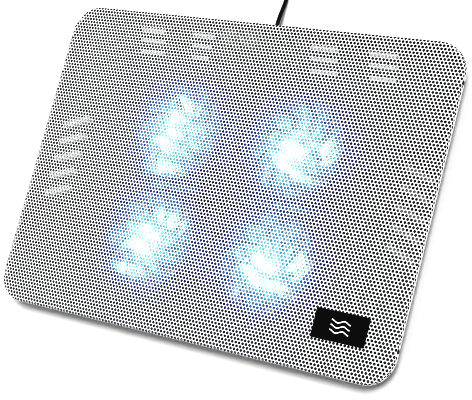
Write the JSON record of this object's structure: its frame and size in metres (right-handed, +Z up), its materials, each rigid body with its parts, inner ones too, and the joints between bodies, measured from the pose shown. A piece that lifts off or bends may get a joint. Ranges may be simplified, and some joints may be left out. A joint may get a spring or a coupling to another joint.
{
  "type": "laptop cooling pad",
  "caption": "Flat laptop cooling pad: perforated white metal cover with rolled edges over a black tray of lit fans, with fold-out legs and a USB lead.",
  "frame": {"origin": "centre of the footprint on the surface the pad stands on, without the cable", "axes": "+X along the long edge to the right, +Y to the back where the cable leaves, +Z up"},
  "size_m": [0.34, 0.3308, 0.022],
  "materials": {
    "powder_coated_sheet": "white powder coat on perforated steel",
    "badge_gloss": "glossy black",
    "tray_plastic": "fine moulded texture",
    "fan_plastic": "smooth moulding",
    "rotor_clear": "translucent moulding lit blue",
    "magnet": "ferrite",
    "steel": "bright",
    "black_steel": "black oxide",
    "brass": "sintered",
    "stator_steel": "laminated",
    "coil_copper": "enamelled copper wire",
    "circuit_board": "dark solder mask",
    "led_blue": "lit blue",
    "louvre_plastic": "white moulding",
    "foot_rubber": "matte",
    "leg_plastic": "moulded",
    "connector_plastic": "moulded",
    "port_metal": "plated shell",
    "black_plastic": "moulded",
    "knob_plastic": "ribbed",
    "wire_sheath": "sleeved leads",
    "cable_jacket": "satin PVC",
    "cable_tie": "strap",
    "plug_plastic": "moulded"
  },
  "bodies": {
    "root": {"mesh_cover": "powder_coated_sheet", "badge": "badge_gloss", "base_shell": "tray_plastic", "fan_frame_1": "fan_plastic", "fan_frame_2": "fan_plastic", "fan_frame_3": "fan_plastic", "fan_frame_4": "fan_plastic", "fan_bearings": "brass", "fan_stators": "stator_steel", "fan_coils": "coil_copper", "fan_boards": "circuit_board", "fan_leds": "led_blue", "fan_screws": "black_steel", "vent_louvres_left": "louvre_plastic", "vent_louvres_right": "louvre_plastic", "vent_louvres_back": "louvre_plastic", "cover_screws": "black_steel", "rubber_feet": "foot_rubber", "leg_pins": "steel", "control_board": "circuit_board", "board_screws": "steel", "board_parts": "connector_plastic", "usb_ports": "port_metal", "usb_tongues": "black_plastic", "switch_housing": "black_plastic", "wiring": "wire_sheath", "strain_relief": "cable_jacket", "cable": "cable_jacket", "cable_coil": "cable_jacket", "cable_tail": "cable_jacket", "cable_tie": "cable_tie", "plug_body": "plug_plastic", "plug_shell": "port_metal"},
    "rotor_1": {"fan_rotor_1": "rotor_clear", "fan_magnet_1": "magnet", "fan_shaft_1": "steel"},
    "rotor_2": {"fan_rotor_2": "rotor_clear", "fan_magnet_2": "magnet", "fan_shaft_2": "steel"},
    "rotor_3": {"fan_rotor_3": "rotor_clear", "fan_magnet_3": "magnet", "fan_shaft_3": "steel"},
    "rotor_4": {"fan_rotor_4": "rotor_clear", "fan_magnet_4": "magnet", "fan_shaft_4": "steel"},
    "leg_left": {"leg_left": "leg_plastic", "leg_tip_left": "foot_rubber"},
    "leg_right": {"leg_right": "leg_plastic", "leg_tip_right": "foot_rubber"},
    "switch": {"switch_knob": "knob_plastic"}
  },
  "joints": [
    {"name": "fan_1_spin", "type": "hinge", "parent": "root", "child": "rotor_1", "pos_m": [-0.0505, 0.0335, 0.012], "axis": [0, 0, 1], "continuous": true},
    {"name": "fan_2_spin", "type": "hinge", "parent": "root", "child": "rotor_2", "pos_m": [0.0525, 0.0335, 0.012], "axis": [0, 0, 1], "continuous": true},
    {"name": "fan_3_spin", "type": "hinge", "parent": "root", "child": "rotor_3", "pos_m": [-0.0505, -0.0531, 0.012], "axis": [0, 0, 1], "continuous": true},
    {"name": "fan_4_spin", "type": "hinge", "parent": "root", "child": "rotor_4", "pos_m": [0.0525, -0.0531, 0.012], "axis": [0, 0, 1], "continuous": true},
    {"name": "leg_left_fold", "type": "hinge", "parent": "root", "child": "leg_left", "pos_m": [-0.138, 0.1, 0.0054], "axis": [1, 0, 0], "range_deg": [0, 100]},
    {"name": "leg_right_fold", "type": "hinge", "parent": "root", "child": "leg_right", "pos_m": [0.138, 0.1, 0.0054], "axis": [1, 0, 0], "range_deg": [0, 100]},
    {"name": "switch_slide", "type": "slide", "parent": "root", "child": "switch", "axis": [1, 0, 0], "range_m": [0, 0.003]}
  ]
}
